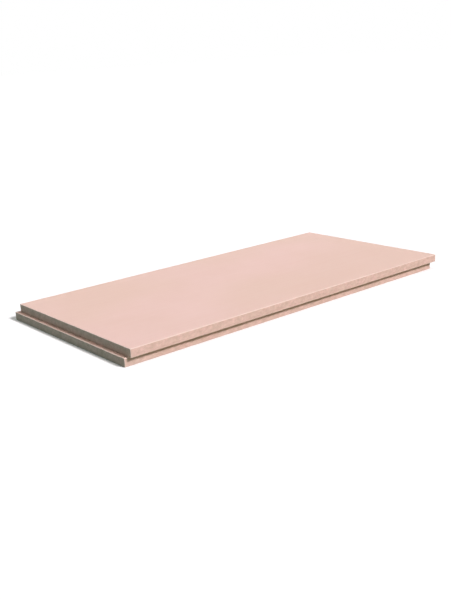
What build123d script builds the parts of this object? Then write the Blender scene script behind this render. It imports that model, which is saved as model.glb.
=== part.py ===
# Extruded polystyrene insulation board with a half-thickness lap milled along all four edges.
#
# The board lies flat. Its upper half and lower half are equal rectangles, and the upper one is
# shifted towards +X and -Y. So the lower half sticks out as a shelf at the -X end and along the
# +Y side, and the upper half overhangs at the +X end and along the -Y side. In a laid row each
# overhang rests on its neighbour's shelf, and no joint goes straight through the insulation.
#
# The origin is at the middle of the board's outer box, on the floor. +X runs along the board.

import os

from build123d import *

# Driving sizes in millimetres
cover_length = 1250.0  # what one laid board covers along X, one lap counted once
cover_width = 600.0  # what one laid board covers along Y, one lap counted once
thickness = 50.0
lap_width = 12.5  # how far each half reaches past the other, on all four edges
lap_play = 0.5  # what both rebates together take past half the thickness, so that laps close flush
arris_radius = 1.0  # rounding that the cutters and handling leave on every outer arris

# Sizes that follow
overall_length = cover_length + lap_width
overall_width = cover_width + lap_width
rebate_depth = (thickness + lap_play) / 2
half_shift = lap_width / 2  # distance along X and Y from the board's centre to each half's centre


def is_rebate_root(edge):
    """Tell whether an edge is the inner corner of a rebate, where its floor meets its wall.

    The four roots go round the board's core, which is centred on the origin. Every outer arris
    goes round one of the halves, which are centred to one side of it.
    """
    middle = edge.center()
    return min(abs(middle.X), abs(middle.Y)) < half_shift / 2


with BuildPart() as foam_board:
    # The blank, extruded and sawn to its overall size
    with BuildSketch(Plane.XY):
        Rectangle(overall_length, overall_width)
    extrude(amount=thickness)

    # The upper rebate goes round the -X end and the +Y side, and leaves the shelf
    with BuildSketch(Plane.XY.offset(thickness)):
        Rectangle(overall_length, overall_width)
        with Locations((half_shift, -half_shift)):
            Rectangle(cover_length, cover_width, mode=Mode.SUBTRACT)
    extrude(amount=-rebate_depth, mode=Mode.SUBTRACT)

    # The lower rebate goes round the +X end and the -Y side, and leaves the overhang
    with BuildSketch(Plane.XY):
        Rectangle(overall_length, overall_width)
        with Locations((-half_shift, half_shift)):
            Rectangle(cover_length, cover_width, mode=Mode.SUBTRACT)
    extrude(amount=rebate_depth, mode=Mode.SUBTRACT)

    # The rebate roots stay sharp, as the cutter leaves them, and every other edge is rounded
    outer_arrises = foam_board.edges().filter_by(is_rebate_root, reverse=True)
    fillet(outer_arrises, radius=arris_radius)

foam_board.part.label = "foam_board"

os.makedirs("parts", exist_ok=True)
export_step(foam_board.part, "parts/foam_board.step")
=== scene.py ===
# %% [markdown]
# # A lapped foam insulation board
#
# This lesson finishes one board of extruded polystyrene foam, the kind that lies under a floor or on a
# flat roof. The board is squeezed out of a wide die as one endless slab with a smooth skin, sawn to
# size, and then milled along all four edges, so that half of its thickness reaches past the other
# half. Laid boards overlap there.
#
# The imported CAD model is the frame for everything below. It gives the board's place and its outer sizes.

# %% Load the frame
import math

import bmesh
import bpy
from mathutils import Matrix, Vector


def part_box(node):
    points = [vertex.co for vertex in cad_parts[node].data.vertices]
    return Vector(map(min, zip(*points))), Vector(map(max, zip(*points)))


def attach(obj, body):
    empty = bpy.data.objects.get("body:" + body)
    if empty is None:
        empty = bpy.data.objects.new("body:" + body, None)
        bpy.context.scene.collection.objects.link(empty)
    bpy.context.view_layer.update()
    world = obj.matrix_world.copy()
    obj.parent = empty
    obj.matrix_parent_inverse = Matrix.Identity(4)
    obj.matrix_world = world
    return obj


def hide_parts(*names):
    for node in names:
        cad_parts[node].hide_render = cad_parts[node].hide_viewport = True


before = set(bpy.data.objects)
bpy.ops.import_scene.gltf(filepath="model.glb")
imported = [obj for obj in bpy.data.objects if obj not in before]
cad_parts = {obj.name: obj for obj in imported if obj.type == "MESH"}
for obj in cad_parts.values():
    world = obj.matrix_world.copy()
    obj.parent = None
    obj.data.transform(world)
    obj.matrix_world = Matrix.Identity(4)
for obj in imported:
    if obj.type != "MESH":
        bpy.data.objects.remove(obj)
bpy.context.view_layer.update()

MM = 0.001

# %% [markdown]
# ## Sizes
#
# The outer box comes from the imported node. The lap, its play and the rounding of the arrises are
# the same named sizes that the CAD source has. Blender works in metres, so each size in
# millimetres is multiplied by MM.

# %% Sizes of the board
BOARD_NODE = "foam_board"
LAP_WIDTH = 12.5 * MM
LAP_PLAY = 0.5 * MM
ARRIS_RADIUS = 1.0 * MM

board_low, board_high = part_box(BOARD_NODE)
board_size = board_high - board_low
shelf_height = (board_size.z - LAP_PLAY) / 2
overhang_height = (board_size.z + LAP_PLAY) / 2
print("board", [round(side / MM, 2) for side in board_size], "shelf at", round(shelf_height / MM, 2))

# %% [markdown]
# ## Helpers for edit mode
#
# Two jobs come back all the time: cutting the mesh along planes, and selecting the faces or edges that pass
# a test. The cut is the Bisect operator from Blender's menu, and could be tried by hand. The test reads the
# mesh through bmesh, which knows the place and the normal of each face. Numbers 0, 1 and 2 stand for the
# axes X, Y and Z, as they do in every vector.

# %% Cut and pick
ALONG, ACROSS, UP = 0, 1, 2


def cut_across(axis, places):
    """Cut every face of the mesh along planes across one axis."""
    normal = [float(axis == other) for other in (ALONG, ACROSS, UP)]
    for place in places:
        bpy.ops.mesh.select_all(action="SELECT")
        bpy.ops.mesh.bisect(plane_co=[place * part for part in normal], plane_no=normal)


def pick(board, kind, wanted):
    """Select only the faces or edges that pass a test, and return how many there are."""
    bpy.ops.mesh.select_mode(type=kind)
    bpy.ops.mesh.select_all(action="DESELECT")
    mesh = bmesh.from_edit_mesh(board.data)
    found = [part for part in (mesh.faces if kind == "FACE" else mesh.edges) if wanted(part)]
    for part in found:
        part.select = True
    mesh.select_flush_mode()
    bmesh.update_edit_mesh(board.data)
    return len(found)


# %% [markdown]
# ## The core
#
# The board is modelled as it is milled, from a plain block. It could be two slabs joined by a Boolean, but
# that leaves long thin faces. A block that is cut across twice, just under and just over half its
# thickness, gives bands of faces that can be pushed out by one lap, and stays one closed skin all the way.
#
# The core is what both halves share, so it is smaller than the board by a lap on every side.

# %% The core block
bpy.ops.object.select_all(action="DESELECT")
core_size = (board_size.x - 2 * LAP_WIDTH, board_size.y - 2 * LAP_WIDTH, board_size.z)
bpy.ops.mesh.primitive_cube_add(size=1, location=(0, 0, board_size.z / 2), scale=core_size)
board = bpy.context.object
board.name = board.data.name = "lapped_board"
bpy.ops.object.transform_apply(location=True, rotation=True, scale=True)

bpy.ops.object.mode_set(mode="EDIT")
cut_across(UP, (shelf_height, overhang_height))
print("core in mm:", [round(side / MM, 1) for side in core_size])
print("faces after the two cuts:", len(bmesh.from_edit_mesh(board.data).faces))

# %% [markdown]
# ## The two halves
#
# The lower band grows by one lap towards -X and +Y, and the upper band towards +X and -Y. The second push
# takes the side of the first one with it, so the corner fills itself. What is left between the bands is the
# play, half a millimetre that lets two laps close flush.
#
# The cuts and the pushes leave seams across flat faces. They are dissolved, so that the arrises
# are whole edges.

# %% Push the bands out
SEAM_ANGLE = math.radians(0.5)

# A face looks straight along an axis when its normal has more than this along it
FLAT_ENOUGH = 0.99


def push_out(axis, direction, lowest, highest):
    """Push the faces of one band that look along an axis out by one lap."""

    def in_band(face):
        """Tell whether a face looks the right way and lies between the two heights."""
        looks_out = face.normal[axis] * direction > FLAT_ENOUGH
        return looks_out and lowest < face.calc_center_median().z < highest

    count = pick(board, "FACE", in_band)
    step = [0.0, 0.0, 0.0]
    step[axis] = direction * LAP_WIDTH
    bpy.ops.mesh.extrude_region_move(TRANSFORM_OT_translate={"value": step})
    print("pushed", count, "faces along", "XYZ"[axis], "by", round(step[axis] / MM, 1))


push_out(ALONG, -1, 0, shelf_height)
push_out(ACROSS, 1, 0, shelf_height)
push_out(ALONG, 1, overhang_height, board_size.z)
push_out(ACROSS, -1, overhang_height, board_size.z)

bpy.ops.mesh.select_all(action="SELECT")
bpy.ops.mesh.dissolve_limited(angle_limit=SEAM_ANGLE)
print("faces with the flat seams gone:", len(bmesh.from_edit_mesh(board.data).faces))

# %% [markdown]
# ## The arrises
#
# An arris is the sharp outer edge where two faces meet. Foam can't hold a knife edge: the cutters and
# the hands that stack the boards round it over, and that thin rounding catches the light. The inner
# corners of the rebates stay sharp, as the cutter leaves them. Those run round the core, which is
# centred on the origin, while every arris runs round a half, which is centred to one side, so the
# middle of the edge tells them apart.
#
# Clamping is off, because the play is narrower than the rounding where the two halves cross at a corner.

# %% Round the arrises
half_shift = LAP_WIDTH / 2


def is_arris(edge):
    """Tell an outer edge from the inner corner of a rebate by where its middle is."""
    middle = (edge.verts[0].co + edge.verts[1].co) / 2
    return min(abs(middle.x), abs(middle.y)) > half_shift / 2


arris_count = pick(board, "EDGE", is_arris)
bpy.ops.mesh.bevel(
    offset=ARRIS_RADIUS, offset_type="OFFSET", segments=3, profile=0.5, affect="EDGES", clamp_overlap=False
)
print("rounded", arris_count, "arrises")

# %% [markdown]
# ## Rows of faces for the relief
#
# The broad faces aren't dead flat on a real board, and a shape needs faces before it can have relief. Loop
# cut needs a window, so the rows are made by cutting along planes. They are closer across the board than
# along it, because what the die leaves runs lengthwise. A last row lies close to every arris and holds the
# rounding narrow, and later it is also where the pale line fades out: paler crushed foam and a painted
# highlight along the arris.

# %% Cut the rows
ROW_ALONG = 12.5 * MM
ROW_ACROSS = 6.0 * MM
ROW_UP = 7.0 * MM
HOLD = 2.4 * MM
MERGE_GAP = 0.01 * MM


def even_places(low, high, spacing):
    """Give evenly spaced places between two ends, without the ends."""
    count = round((high - low) / spacing)
    return [low + (high - low) * step / count for step in range(1, count)]


def holding_places(half_length):
    """Give the places of the holding rows of both halves along one axis."""
    ends = (half_length, half_length - LAP_WIDTH)
    return [side * (end - HOLD) for end in ends for side in (-1, 1)]


half_x, half_y = board_size.x / 2, board_size.y / 2
inner_x, inner_y = half_x - LAP_WIDTH - HOLD, half_y - LAP_WIDTH - HOLD
cut_across(ALONG, even_places(-inner_x, inner_x, ROW_ALONG) + holding_places(half_x))
cut_across(ACROSS, even_places(-inner_y, inner_y, ROW_ACROSS) + holding_places(half_y))
for floor_height, roof_height in ((0, shelf_height), (overhang_height, board_size.z)):
    cut_across(UP, even_places(floor_height + HOLD, roof_height - HOLD, ROW_UP))
    cut_across(UP, (floor_height + HOLD, roof_height - HOLD))

bpy.ops.mesh.select_all(action="SELECT")
bpy.ops.mesh.remove_doubles(threshold=MERGE_GAP)
bpy.ops.mesh.normals_make_consistent(inside=False)
bpy.ops.object.mode_set(mode="OBJECT")
print("faces in rows:", len(board.data.polygons))

# %% [markdown]
# ## Which face is skin and which is milled
#
# The two broad faces keep the skin from the die. Everything else is cut foam, and the rounding counts as
# cut. The faces could be picked by hand, but a test finds the same ones on every run: skin looks straight
# up or down, and lies at the very top or bottom of the board.
#
# The points of the rounding are listed too, because the arrises get knocked later. The foot of an
# upright arris stands on the floor of a rebate, where nothing reaches it, so the points of hollow
# edges are left out.

# %% Sort the faces
SKIN, MILLED = 0, 1
SHARP_ANGLE = math.radians(40)
for face in board.data.polygons:
    outer = abs(face.center.z - board_size.z / 2) > board_size.z / 2 - ARRIS_RADIUS / 3
    face.material_index = SKIN if outer and abs(face.normal.z) > FLAT_ENOUGH else MILLED

solid = bmesh.new()
solid.from_mesh(board.data)
hollow = set()
for edge in solid.edges:
    if edge.calc_face_angle_signed() < -SHARP_ANGLE:
        hollow.update(point.index for point in edge.verts)
solid.free()

on_arris = set()
for face in board.data.polygons:
    if max(abs(part) for part in face.normal) < FLAT_ENOUGH:
        on_arris.update(set(face.vertices) - hollow)
print("skin faces:", sum(face.material_index == SKIN for face in board.data.polygons))
print("points on arrises:", len(on_arris))

# %% [markdown]
# ## Relief of the extruded faces
#
# The slab leaves the die a little uneven: shallow streaks along its length, and very long soft waves from
# the belts that flatten it. Both are a tenth of a millimetre or so, which only a low light shows. Bump
# would shade them but leave the outline dead straight, so they are real relief.
#
# A Displace modifier moves the faces up and down by a cloud pattern. The pattern is stretched lengthwise by
# an empty that is scaled along X, and a vertex group makes the effect fade down to nothing at the
# underside, which lies flat on the floor.

# %% Helpers for relief
def clouds(name, grain):
    """Make a cloud pattern with lumps of one size."""
    pattern = bpy.data.textures.new(name, "CLOUDS")
    pattern.noise_scale = grain
    pattern.noise_depth = 1
    return pattern


def add_relief(board, pattern, group, stretch=1, **settings):
    """Move the points by a pattern stretched along X, each by as much as its vertex group says."""
    bpy.ops.object.empty_add(location=(0, 0, 0))
    ruler = bpy.context.object
    ruler.scale = (stretch, 1, 1)
    bpy.context.view_layer.update()
    relief = board.modifiers.new(pattern.name, "DISPLACE")
    relief.texture = pattern
    relief.texture_coords = "OBJECT"
    relief.texture_coords_object = ruler
    relief.vertex_group = group
    for name, value in settings.items():
        setattr(relief, name, value)
    bpy.ops.object.select_all(action="DESELECT")
    bpy.context.view_layer.objects.active = board
    bpy.ops.object.modifier_apply(modifier=relief.name)
    bpy.data.objects.remove(ruler)
    bpy.data.textures.remove(pattern)


# %% [markdown]
# ## Streaks and waves
#
# The streaks are 14 mm across and thirty times as long. The waves are 180 mm across and twice as
# long. A modifier's strength is its whole reach from the deepest point to the highest, and clouds
# use only part of it.

# %% Give the faces relief
STREAK_WIDTH = 14 * MM
STREAK_STRETCH = 30
STREAK_REACH = 0.12 * MM
WAVE_WIDTH = 180 * MM
WAVE_STRETCH = 2
WAVE_REACH = 0.4 * MM

by_height = board.vertex_groups.new(name="by_height")
for point in board.data.vertices:
    by_height.add([point.index], point.co.z / board_size.z, "REPLACE")
streak_pattern = clouds("die_streaks", STREAK_WIDTH)
add_relief(board, streak_pattern, "by_height", STREAK_STRETCH, direction="Z", strength=STREAK_REACH)
wave_pattern = clouds("belt_waves", WAVE_WIDTH)
add_relief(board, wave_pattern, "by_height", WAVE_STRETCH, direction="Z", strength=WAVE_REACH)

heights = [point.co.z for point in board.data.vertices]
print("height after the relief in mm:", round(min(heights) / MM, 3), "to", round(max(heights) / MM, 3))

# %% [markdown]
# ## Knocked arrises
#
# Stacking and carrying press the arrises in here and there, by up to 0.6 mm over 20 mm or so. That
# could be sculpted, but the modifier does it evenly along the whole board, along the normals of
# the arris points. The pattern is steep and clipped at its top, where it moves nothing, so two
# thirds of the points stay as milled.

# %% Knock the arrises
KNOCK_LENGTH = 22 * MM
KNOCK_DEPTH = 0.6 * MM

by_arris = board.vertex_groups.new(name="by_arris")
by_arris.add(list(on_arris), 1.0, "REPLACE")
knocks = clouds("knocks", KNOCK_LENGTH)
knocks.contrast = 2.5
knocks.intensity = 1.6
knocks.use_clamp = True
before = [point.co.copy() for point in board.data.vertices]
add_relief(board, knocks, "by_arris", direction="NORMAL", strength=KNOCK_DEPTH, mid_level=1.0)
board.vertex_groups.clear()

depths = {index: (board.data.vertices[index].co - before[index]).length for index in on_arris}
deepest = max(depths.values())
print("deepest knock in mm:", round(deepest / MM, 2))

# %% [markdown]
# ## How crushed and how highlit each arris is
#
# Pressed foam is also paler, and the same pale colour paints a highlight along every arris, where light
# would catch the rounding. How far each point went in is kept as an attribute for the materials: a half
# where the arris is only rubbed, which is mostly the painted highlight, one in the deepest knock, and
# nothing at the holding row. The Pointiness output of a Geometry node could find the arrises too, but it
# depends on how fine the mesh is, and the depths are known.

# %% Keep the crushing and the painted highlight as an attribute
# Every arris point is at least half pale: a painted highlight along the arris, as well as rubbed foam
RUBBED_AND_HIGHLIT = 0.5
SEEN_KNOCK = 0.05 * MM

# Paleness of each arris point: crushed foam and a painted highlight
crushed_and_highlit = [0.0] * len(before)
for index, depth in depths.items():
    crushed_and_highlit[index] = RUBBED_AND_HIGHLIT + (1 - RUBBED_AND_HIGHLIT) * depth / deepest
board.data.attributes.new("crushed_and_highlit_arris", "FLOAT", "POINT").data.foreach_set("value", crushed_and_highlit)
print("points knocked:", sum(depth > SEEN_KNOCK for depth in depths.values()), "of", len(depths))

# %% [markdown]
# ## Smooth shading
#
# Smooth shading alone would blend the narrow rounding into the broad faces and make them look
# like a pillow. The Weighted Normal modifier lets the large faces decide, so they stay flat to
# the edge and only the rounding turns.

# %% Shade the board
bpy.ops.object.select_all(action="DESELECT")
board.select_set(True)
bpy.context.view_layer.objects.active = board
bpy.ops.object.shade_smooth_by_angle(angle=SHARP_ANGLE)
weights = board.modifiers.new("broad_faces_decide", "WEIGHTED_NORMAL")
weights.mode = "FACE_AREA"
weights.keep_sharp = True
bpy.ops.object.modifier_apply(modifier=weights.name)
print("triangles:", sum(len(face.vertices) - 2 for face in board.data.polygons))

# %% [markdown]
# ## Colours and nodes
#
# Colours are written as sRGB hex values, as a colour picker shows them, and one function turns them to the
# linear values that the shader needs. One more function adds a node, with its settings and links.

# %% Helpers for materials
def linear(hex_value):
    """Turn an sRGB hex colour into linear red, green, blue and alpha."""
    parts = [int(hex_value[place : place + 2], 16) / 255 for place in (1, 3, 5)]
    return [part / 12.92 if part <= 0.04045 else ((part + 0.055) / 1.055) ** 2.4 for part in parts] + [1.0]


def add_node(tree, kind, inputs=None, **settings):
    """Add one node. An input takes a value, a socket, or a node whose first output it uses."""
    node = tree.nodes.new(kind)
    for name, value in settings.items():
        setattr(node, name, value)
    for key, value in (inputs or {}).items():
        if isinstance(value, bpy.types.Node):
            value = value.outputs[0]
        if isinstance(value, bpy.types.NodeSocket):
            tree.links.new(value, node.inputs[key])
        else:
            node.inputs[key].default_value = value
    return node


# The Mix node has a set of sockets for each kind of data, and these are its colour ones
MIX_FACTOR, MIX_A, MIX_B, MIX_RESULT = 0, 6, 7, 2


def new_material(name):
    """Start an empty node material and return it with its tree."""
    material = bpy.data.materials.new(name)
    material.use_nodes = True
    material.node_tree.nodes.clear()
    return material, material.node_tree


# %% [markdown]
# ## What both finishes share
#
# The cells of an arris are rubbed and pressed flat, and flattened foam is paler. The same pale colour is
# also a painted highlight: it lightens every arris as light catching the edge would. It could be a third
# material, but then the pale line would end at a face's edge. So both finishes mix one pale colour in,
# by as much as the attribute of the knocked arrises says, and it fades out softly. They are one
# plastic, so they share its IOR.

# %% Crushed foam and painted highlight
# Pale colour of crushed foam, which also paints a highlight along the arrises
CRUSHED_FOAM_AND_HIGHLIGHT = linear("#FBE8E0")
POLYSTYRENE_IOR = 1.59
print("crushed foam in linear colour:", [round(part, 3) for part in CRUSHED_FOAM_AND_HIGHLIGHT[:3]])

# %% [markdown]
# ## Extruded skin
#
# The real finish is extruded polystyrene as it leaves the die: closed cells under a thin, dense,
# satin skin, pale salmon all through. The eye gets an even colour that drifts slowly between pink and
# tan, a soft sheen, and faint streaks along the board. A flat colour would do from far away, and
# these layers keep it right up close.
#
# Scales are one over a real length: slow drift about 450 mm, mottling about 110 mm, streaks 9 mm across,
# and a peel of 6 mm. A Mapping node draws the streaks out along the board as far as those of the relief.
# The real cells are 0.1 to 0.3 mm and don't show through the skin.

# %% Patterns of the skin
skin, tree = new_material("extruded_polystyrene_skin")
place = add_node(tree, "ShaderNodeTexCoord").outputs["Object"]
drift = add_node(tree, "ShaderNodeTexNoise", {"Vector": place, "Scale": 1 / (450 * MM), "Detail": 1.0})
mottle = add_node(tree, "ShaderNodeTexNoise", {"Vector": place, "Scale": 1 / (110 * MM), "Detail": 3.0})
lengthwise = add_node(tree, "ShaderNodeMapping", {"Vector": place, "Scale": (1 / STREAK_STRETCH, 1, 1)})
streaks = add_node(tree, "ShaderNodeTexNoise", {"Vector": lengthwise, "Scale": 1 / (9 * MM), "Detail": 2.0})
peel = add_node(tree, "ShaderNodeTexNoise", {"Vector": place, "Scale": 1 / (6 * MM), "Detail": 1.0})
print("nodes with the patterns of the skin:", len(tree.nodes))

# %% [markdown]
# ### Colour of the skin
#
# Each layer is a Mix node on top of the one before: the drift from pink to tan, then the mottling,
# then the crushed arrises with their painted highlight. A Map Range node first spreads each pattern's
# middle values, because noise seldom comes near nought or one.

# %% Colour of the skin
PINK_SKIN = linear("#E6C7BE")
TAN_SKIN = linear("#E1C4B6")
MOTTLED_SKIN = linear("#E0C0B3")

drift_share = add_node(
    tree,
    "ShaderNodeMapRange",
    {"Value": drift, "From Min": 0.35, "From Max": 0.65},
    interpolation_type="SMOOTHSTEP",
)
slow_colour = add_node(
    tree,
    "ShaderNodeMix",
    {MIX_FACTOR: drift_share, MIX_A: PINK_SKIN, MIX_B: TAN_SKIN},
    data_type="RGBA",
)
mottle_share = add_node(
    tree, "ShaderNodeMapRange", {"Value": mottle, "From Min": 0.3, "From Max": 0.7, "To Max": 0.4}
)
mottled_colour = add_node(
    tree,
    "ShaderNodeMix",
    {MIX_FACTOR: mottle_share, MIX_A: slow_colour.outputs[MIX_RESULT], MIX_B: MOTTLED_SKIN},
    data_type="RGBA",
)
# The pale arris line: crushed foam and a painted highlight
arris = add_node(tree, "ShaderNodeAttribute", attribute_name="crushed_and_highlit_arris")
skin_colour = add_node(
    tree,
    "ShaderNodeMix",
    {MIX_FACTOR: arris.outputs["Fac"], MIX_A: mottled_colour.outputs[MIX_RESULT], MIX_B: CRUSHED_FOAM_AND_HIGHLIGHT},
    data_type="RGBA",
)
print("nodes with the colour of the skin:", len(tree.nodes))

# %% [markdown]
# ### Sheen of the skin
#
# The skin is satin: its roughness changes a little from streak to streak, which breaks the sheen up along
# the board. The peel and the finest streaks are less than a tenth of a millimetre high and stay bump.

# %% Sheen of the skin
skin_roughness = add_node(
    tree,
    "ShaderNodeMapRange",
    {"Value": streaks, "From Min": 0.3, "From Max": 0.7, "To Min": 0.5, "To Max": 0.6},
)
peel_bump = add_node(tree, "ShaderNodeBump", {"Height": peel, "Strength": 0.4, "Distance": 0.05 * MM})
streak_bump = add_node(
    tree, "ShaderNodeBump", {"Height": streaks, "Strength": 0.6, "Distance": 0.08 * MM, "Normal": peel_bump}
)
skin_shader = add_node(
    tree,
    "ShaderNodeBsdfPrincipled",
    {
        "Base Color": skin_colour.outputs[MIX_RESULT],
        "Roughness": skin_roughness,
        "IOR": POLYSTYRENE_IOR,
        "Specular IOR Level": 0.3,
        "Normal": streak_bump,
    },
)
add_node(tree, "ShaderNodeOutputMaterial", {"Surface": skin_shader})
print("made", skin.name, "with", len(tree.nodes), "nodes")

# %% [markdown]
# ## Milled foam
#
# The edges and the rebates are cut through the cells by a milling head. The eye gets a dull, slightly
# deeper and sandier colour, because open cells swallow light, with a cloudy grain, upright chatter marks
# from the cutter's teeth and a few scores along the cut.
#
# Real cells are 0.1 to 0.3 mm across, far finer than a pixel here. They are drawn as open pits of 0.9 mm,
# which show up close, and their clusters as a grain of 16 by 10 mm and finer, lying along the board, which
# shows from where the camera stands. Under it the colour drifts over 30 mm. Chatter marks are 3 mm apart,
# scores 1.5 mm. A Mapping node draws the grain and the scores out along the cut, and the chatter marks up.

# %% Patterns of the cut
GRAIN_STRETCH = 1.6
CHATTER_STRETCH = 20
SCORE_STRETCH = 40

milled, tree = new_material("extruded_polystyrene_milled")
place = add_node(tree, "ShaderNodeTexCoord").outputs["Object"]
cells = add_node(tree, "ShaderNodeTexVoronoi", {"Vector": place, "Scale": 1 / (0.9 * MM)})
drawn_out = add_node(
    tree, "ShaderNodeMapping", {"Vector": place, "Scale": (1 / GRAIN_STRETCH, 1 / GRAIN_STRETCH, 1)}
)
grain = add_node(
    tree,
    "ShaderNodeTexNoise",
    {"Vector": drawn_out, "Scale": 1 / (10 * MM), "Detail": 6.0, "Roughness": 0.7},
)
upright = add_node(tree, "ShaderNodeMapping", {"Vector": place, "Scale": (1, 1, 1 / CHATTER_STRETCH)})
chatter = add_node(tree, "ShaderNodeTexNoise", {"Vector": upright, "Scale": 1 / (3 * MM), "Detail": 1.0})
level = add_node(
    tree, "ShaderNodeMapping", {"Vector": place, "Scale": (1 / SCORE_STRETCH, 1 / SCORE_STRETCH, 1)}
)
scores = add_node(tree, "ShaderNodeTexNoise", {"Vector": level, "Scale": 1 / (1.5 * MM), "Detail": 1.0})
blush = add_node(tree, "ShaderNodeTexNoise", {"Vector": place, "Scale": 1 / (30 * MM), "Detail": 2.0})
print("nodes with the patterns of the cut:", len(tree.nodes))

# %% [markdown]
# ### Colour of the cut
#
# The layers go from the largest to the smallest: the slow blush between pink and sand, the grain
# of the cell clusters, and the open pits, which are darkest in the middle. The crushed arrises
# come last, with their painted highlight, as on the skin.

# %% Colour of the cut
PINK_CUT = linear("#F1CEC5")
SANDY_CUT = linear("#E7CBBE")
CLUSTERED_CELLS = linear("#CEB0A1")
OPEN_PITS = linear("#C8A493")

blush_share = add_node(tree, "ShaderNodeMapRange", {"Value": blush, "From Min": 0.35, "From Max": 0.65})
cut_colour = add_node(
    tree,
    "ShaderNodeMix",
    {MIX_FACTOR: blush_share, MIX_A: PINK_CUT, MIX_B: SANDY_CUT},
    data_type="RGBA",
)
grain_share = add_node(
    tree, "ShaderNodeMapRange", {"Value": grain, "From Min": 0.35, "From Max": 0.65, "To Max": 0.85}
)
grainy_colour = add_node(
    tree,
    "ShaderNodeMix",
    {MIX_FACTOR: grain_share, MIX_A: cut_colour.outputs[MIX_RESULT], MIX_B: CLUSTERED_CELLS},
    data_type="RGBA",
)
pit_share = add_node(
    tree, "ShaderNodeMapRange", {"Value": cells, "From Max": 0.5, "To Min": 0.6, "To Max": 0.0}
)
pitted_colour = add_node(
    tree,
    "ShaderNodeMix",
    {MIX_FACTOR: pit_share, MIX_A: grainy_colour.outputs[MIX_RESULT], MIX_B: OPEN_PITS},
    data_type="RGBA",
)
# The pale arris line: crushed foam and a painted highlight
arris = add_node(tree, "ShaderNodeAttribute", attribute_name="crushed_and_highlit_arris")
milled_colour = add_node(
    tree,
    "ShaderNodeMix",
    {MIX_FACTOR: arris.outputs["Fac"], MIX_A: pitted_colour.outputs[MIX_RESULT], MIX_B: CRUSHED_FOAM_AND_HIGHLIGHT},
    data_type="RGBA",
)
print("nodes with the colour of the cut:", len(tree.nodes))

# %% [markdown]
# ### Bump of the cut
#
# Open cells scatter light every way, so the cut is dull all over. The pits, the chatter marks and the
# scores are about a tenth of a millimetre deep. As real relief they would take millions of faces, so they
# are bump, and each bump hands its normal to the next.

# %% Bump of the cut
cell_bump = add_node(tree, "ShaderNodeBump", {"Height": cells, "Strength": 0.7, "Distance": 0.12 * MM})
chatter_bump = add_node(
    tree, "ShaderNodeBump", {"Height": chatter, "Strength": 0.5, "Distance": 0.08 * MM, "Normal": cell_bump}
)
score_bump = add_node(
    tree,
    "ShaderNodeBump",
    {"Height": scores, "Strength": 0.4, "Distance": 0.05 * MM, "Normal": chatter_bump},
)
milled_shader = add_node(
    tree,
    "ShaderNodeBsdfPrincipled",
    {
        "Base Color": milled_colour.outputs[MIX_RESULT],
        "Roughness": 0.85,
        "IOR": POLYSTYRENE_IOR,
        "Specular IOR Level": 0.2,
        "Normal": score_bump,
    },
)
add_node(tree, "ShaderNodeOutputMaterial", {"Surface": milled_shader})
print("made", milled.name, "with", len(tree.nodes), "nodes")

# %% [markdown]
# ## Hand the board over
#
# The slots follow the numbers that the faces were sorted by, skin first. The finished board stands for the
# CAD node and rides on the only body.

# %% Materials on, and tell the frame
board.data.materials.append(skin)
board.data.materials.append(milled)
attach(board, "root")
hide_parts(BOARD_NODE)
print(board.name, "stands for", BOARD_NODE)

# %% [markdown]
# ## Floor
#
# The floor is plain and almost white, and so is the background, so no horizon shows. It could be a sheet
# that curves up behind the board, but a flat one looks the same from every side.
#
# A white floor would throw so much light back that the shaded end turns pale. Light Path tells the material
# what kind of ray has come: the camera and reflections see the pale floor, and other rays find a darker
# one. The seen floor also glows faintly, which keeps the shadow beside the board neutral.
#
# The darker floor isn't one colour. Cool light comes up to the near end, and warm light comes up under the
# overhang of the near side, where it makes the dark line brown. So the floor turns from greenish grey to
# sand across the diagonal that runs out from the near corner, along which x - y stays the same. The turn
# starts 100 mm of x - y before it and ends 100 mm after it.

# %% The floor and its hidden colours
FLOOR_SIDE = 80.0
HALF_TURN = 100 * MM
GREY_AT_END = linear("#A3BFBA")
SAND_AT_SIDE = linear("#A8AC95")

bpy.ops.object.select_all(action="DESELECT")
bpy.ops.mesh.primitive_plane_add(size=FLOOR_SIDE, location=(0, 0, 0))
floor = bpy.context.object
floor.name = "studio_floor"

paper, tree = new_material("seamless_paper_floor")
place = add_node(tree, "ShaderNodeTexCoord").outputs["Object"]
apart = add_node(tree, "ShaderNodeSeparateXYZ", {"Vector": place})
past_diagonal = add_node(
    tree, "ShaderNodeMath", {0: apart.outputs["X"], 1: apart.outputs["Y"]}, operation="SUBTRACT"
)
near_corner = half_y - half_x
side_share = add_node(
    tree,
    "ShaderNodeMapRange",
    {"Value": past_diagonal, "From Min": near_corner - HALF_TURN, "From Max": near_corner + HALF_TURN},
)
hidden_colour = add_node(
    tree,
    "ShaderNodeMix",
    {MIX_FACTOR: side_share, MIX_A: GREY_AT_END, MIX_B: SAND_AT_SIDE},
    data_type="RGBA",
)
print("the floor turns colour where x - y is", round(near_corner, 3), "m")

# %% [markdown]
# ## The paper that is seen
#
# Camera, glossy and transmission rays count as seeing. The background needs the same share, so a
# function makes its nodes.

# %% The seen paper
PALE_PAPER = linear("#F9FEFE")
GLOW_COLOUR = (0.9, 0.8, 0.9, 1.0)
GLOW = 0.1


def seen_share(tree):
    """Add nodes that give one for camera, glossy and transmission rays, and nothing for others."""
    ray = add_node(tree, "ShaderNodeLightPath")
    share = ray.outputs["Is Camera Ray"]
    for name in ("Is Glossy Ray", "Is Transmission Ray"):
        share = add_node(tree, "ShaderNodeMath", {0: share, 1: ray.outputs[name]}, operation="MAXIMUM")
    return share


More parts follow.
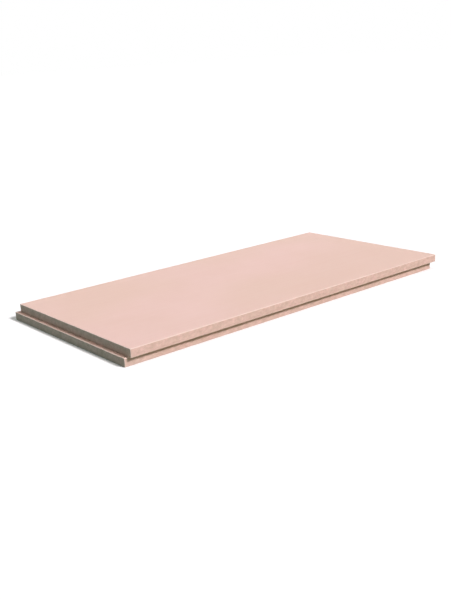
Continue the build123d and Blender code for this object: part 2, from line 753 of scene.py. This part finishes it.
seen = seen_share(tree)
paper_colour = add_node(
    tree,
    "ShaderNodeMix",
    {MIX_FACTOR: seen, MIX_A: hidden_colour.outputs[MIX_RESULT], MIX_B: PALE_PAPER},
    data_type="RGBA",
)
paper_glow = add_node(tree, "ShaderNodeMath", {0: seen, 1: GLOW}, operation="MULTIPLY")
paper_shader = add_node(
    tree,
    "ShaderNodeBsdfPrincipled",
    {
        "Base Color": paper_colour.outputs[MIX_RESULT],
        "Roughness": 1.0,
        "Specular IOR Level": 0.0,
        "Emission Color": GLOW_COLOUR,
        "Emission Strength": paper_glow,
    },
)
add_node(tree, "ShaderNodeOutputMaterial", {"Surface": paper_shader})
floor.data.materials.append(paper)
print("made", paper.name, "with", len(tree.nodes), "nodes")

# %% [markdown]
# ## Background
#
# The world does the same as the floor: it is white where it is seen, and gives the board only a weak cool
# light, so that the shaded faces stay dark and slightly green.

# %% The background
FILL_COLOUR = (0.5, 1.0, 1.0, 1.0)
FILL = 0.06
WHITE = (1.0, 1.0, 1.0, 1.0)

world = bpy.data.worlds.new("studio_world")
bpy.context.scene.world = world
world.use_nodes = True
tree = world.node_tree
tree.nodes.clear()
seen = seen_share(tree)
fill = add_node(tree, "ShaderNodeBackground", {"Color": FILL_COLOUR, "Strength": FILL})
backdrop = add_node(tree, "ShaderNodeBackground", {"Color": WHITE, "Strength": 1.0})
both = add_node(tree, "ShaderNodeMixShader", {0: seen, 1: fill, 2: backdrop})
add_node(tree, "ShaderNodeOutputWorld", {"Surface": both})
print("made", world.name, "with", len(tree.nodes), "nodes")

# %% [markdown]
# ## Light
#
# A key light stands to the front right, 43 degrees up. It lights the top and the long near side, leaves the
# near end in shade, and draws a dark line under the overhang. Only the outer few millimetres of the end's
# shelf catch it. A second, softer light from overhead lifts the top. Both are sun lamps with a wide angle,
# because a sun lights the floor evenly all the way to the horizon.
#
# A sun of strength pi shows a surface that faces it in the colour that the surface has. It shines alike
# from anywhere, so the distance of 3 m only places its icon.

# %% Two soft lamps
FULL_LIGHT = math.pi
LAMP_DISTANCE = 3.0


def add_soft_sun(name, towards, strength, width, tint):
    """Add a sun lamp that shines from a direction, as soft as a light that many degrees wide."""
    bpy.ops.object.light_add(type="SUN", location=Vector(towards) * LAMP_DISTANCE)
    lamp = bpy.context.object
    lamp.name = name
    lamp.rotation_euler = Vector(towards).to_track_quat("Z", "Y").to_euler()
    lamp.data.energy = strength
    lamp.data.angle = math.radians(width)
    lamp.data.color = tint


add_soft_sun("key_softbox", (0.27, -0.681, 0.681), 0.94 * FULL_LIGHT, 12, (1.15, 1.05, 1.09))
add_soft_sun("overhead_softbox", (0.0, 0.0, 1.0), 0.28 * FULL_LIGHT, 30, (0.95, 0.87, 0.79))
bpy.context.scene.view_settings.view_transform = "Standard"

# %% [markdown]
# ## Camera
#
# The camera stands where the photographer stood, as seen from the board: off its near corner, a little
# above it. The place was worked out from the slopes of the board's edges. The lens is long enough for the
# whole board to fill the width of an upright frame.
#
# In the photo the board lies far to the lower left of the lens's axis, and there the edges lean. A small
# roll of the camera gives them the same lean with the board in the middle of the frame.

# %% The camera
CAMERA_PLACE = Vector((-1.69, -2.012, 0.76))
CAMERA_AIM = Vector((-0.079, -0.033, 0.0))
CAMERA_ROLL = math.radians(-3.2)
CAMERA_LENS = 50.6

bpy.ops.object.camera_add(location=CAMERA_PLACE)
camera = bpy.context.object
camera.name = "photo_camera"
camera.rotation_euler = (CAMERA_AIM - CAMERA_PLACE).to_track_quat("-Z", "Y").to_euler()
camera.rotation_euler.rotate_axis("Z", CAMERA_ROLL)
camera.data.lens = CAMERA_LENS
camera.data.dof.use_dof = False
bpy.context.scene.camera = camera
print("camera", round((CAMERA_AIM - CAMERA_PLACE).length, 3), "m from its aim")
